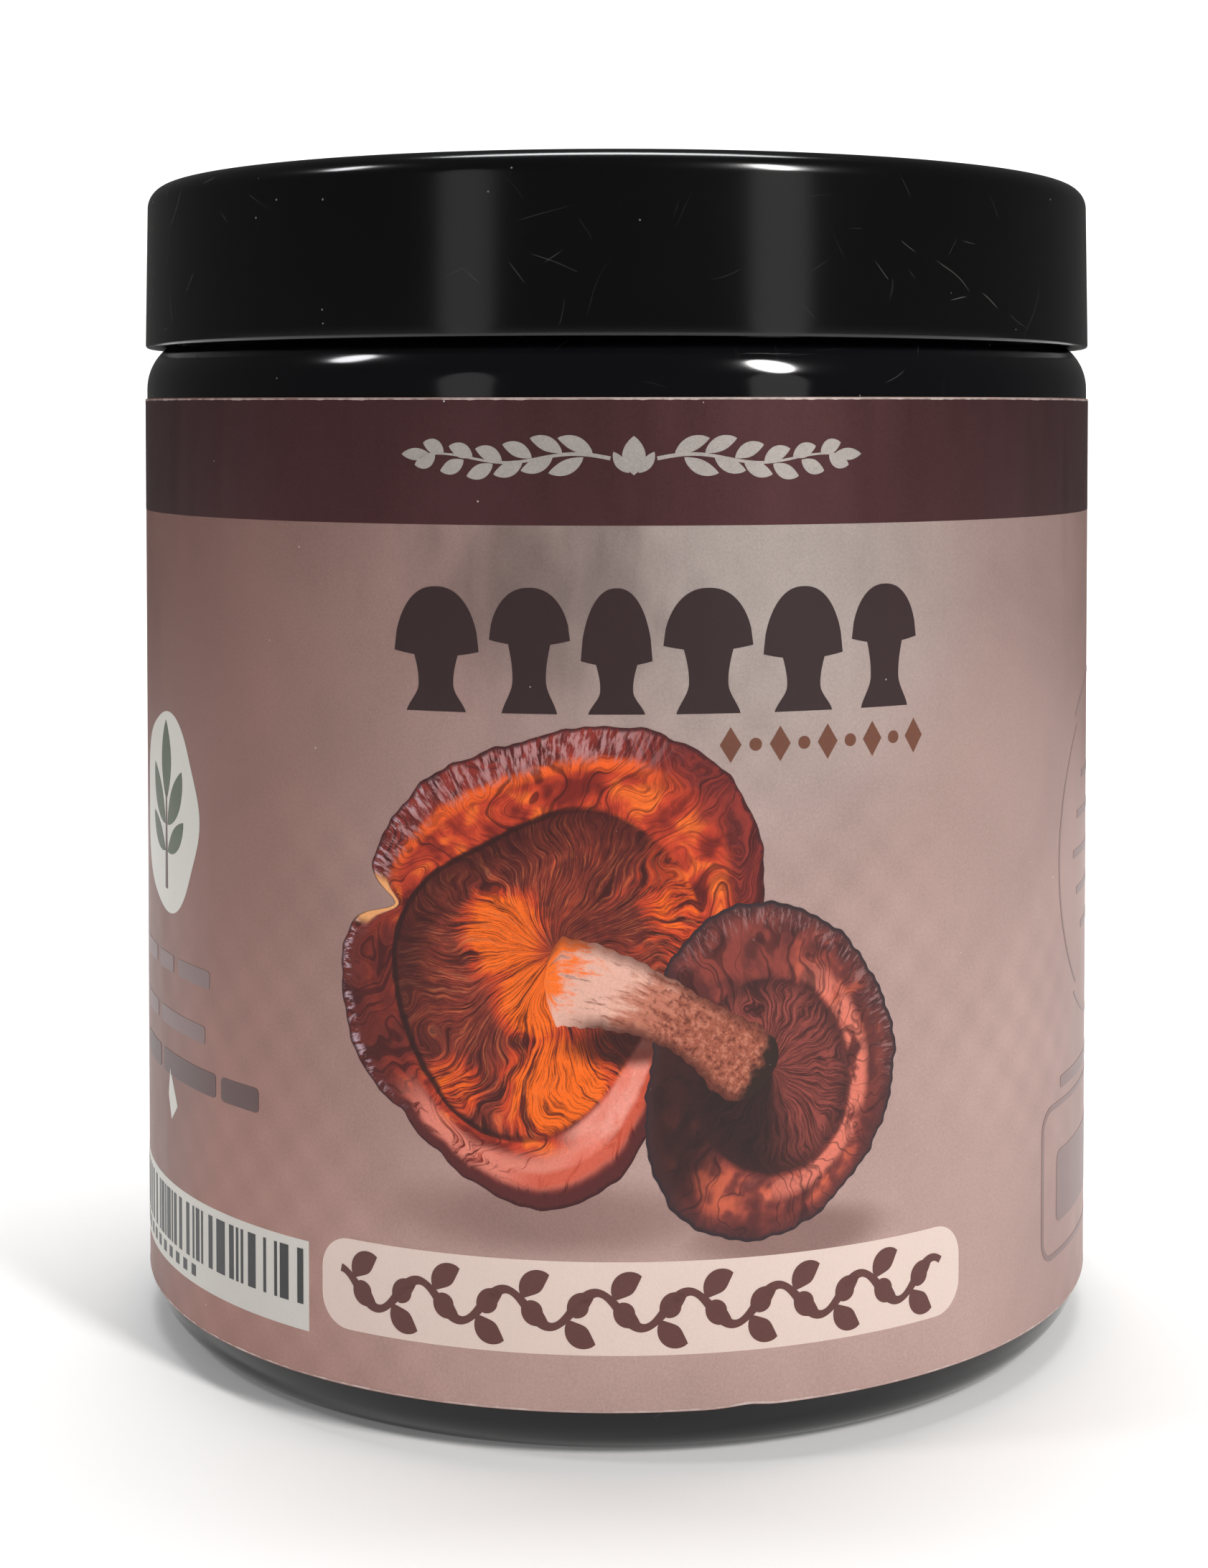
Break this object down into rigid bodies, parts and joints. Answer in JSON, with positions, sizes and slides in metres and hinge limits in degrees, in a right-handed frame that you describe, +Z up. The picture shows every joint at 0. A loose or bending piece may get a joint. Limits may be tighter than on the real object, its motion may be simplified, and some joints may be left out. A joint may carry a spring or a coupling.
{
  "type": "screw-lid powder jar",
  "caption": "Straight-sided round black plastic jar with a threaded neck, a smooth black screw lid with a foam liner, and a wrapped dusty-rose film label.",
  "frame": {"origin": "on the jar's axis, in the plane of its standing ring", "axes": "+Z up along the jar's axis, towards the lid; -Y towards the front of the label"},
  "size_m": [0.0726, 0.0726, 0.0851],
  "materials": {
    "jar_plastic": "glossy black PET, lightly scuffed",
    "lid_plastic": "glossy black, with fine scratches and dust",
    "liner_foam": "matt white foam",
    "label_film": "printed metallised film with a fine sparkle, satin"
  },
  "bodies": {
    "jar": {"jar": "jar_plastic", "wrap_label": "label_film"},
    "liner": {"liner": "liner_foam"},
    "lid": {"screw_lid": "lid_plastic"}
  },
  "joints": [
    {"name": "lid_lift", "type": "slide", "parent": "jar", "child": "liner", "axis": [0, 0, 1], "range_m": [0, 0.0048]},
    {"name": "lid_turn", "type": "hinge", "parent": "liner", "child": "lid", "pos_m": [0, 0, 0.078], "axis": [0, 0, 1], "range_deg": [0, 400]}
  ],
  "couplings": [
    {"joint": "lid_lift", "follows": "lid_turn", "m_per_rad": 0.00067376}
  ]
}
